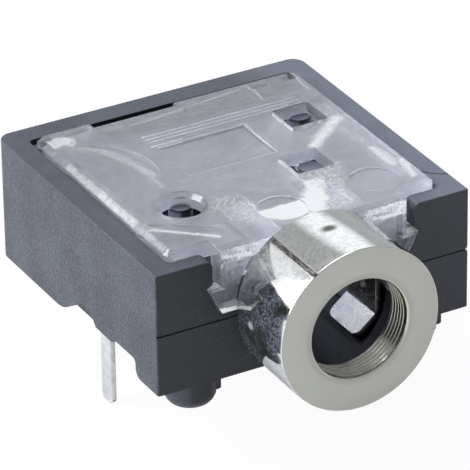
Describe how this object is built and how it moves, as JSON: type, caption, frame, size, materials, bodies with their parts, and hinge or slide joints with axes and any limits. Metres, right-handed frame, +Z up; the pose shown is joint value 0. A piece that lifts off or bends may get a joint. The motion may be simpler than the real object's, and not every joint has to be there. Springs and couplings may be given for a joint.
{
  "type": "audio jack socket",
  "caption": "Right-angle stereo jack socket for a circuit board, with a round plug sleeve, a clear cover, sprung contacts and solder pins.",
  "frame": {"origin": "centre of the sleeve's mouth, where the plug goes in", "axes": "+Y into the socket along the plug's axis, +Z up and away from the board, +X to the right seen from the front"},
  "size_m": [0.012, 0.0146, 0.0085],
  "materials": {
    "housing": "moulded glass-filled polyester with a fine spark texture",
    "cover": "clear moulded polycarbonate",
    "sleeve": "turned brass with dull nickel plating",
    "contacts": "stamped strip with bright silver plating"
  },
  "bodies": {
    "root": {"housing": "housing", "cover": "cover", "sleeve": "sleeve", "ground_contact": "contacts", "tip_contact": "contacts", "ring_contact": "contacts", "tip_switch_contact": "contacts", "ring_switch_contact": "contacts"}
  },
  "joints": []
}
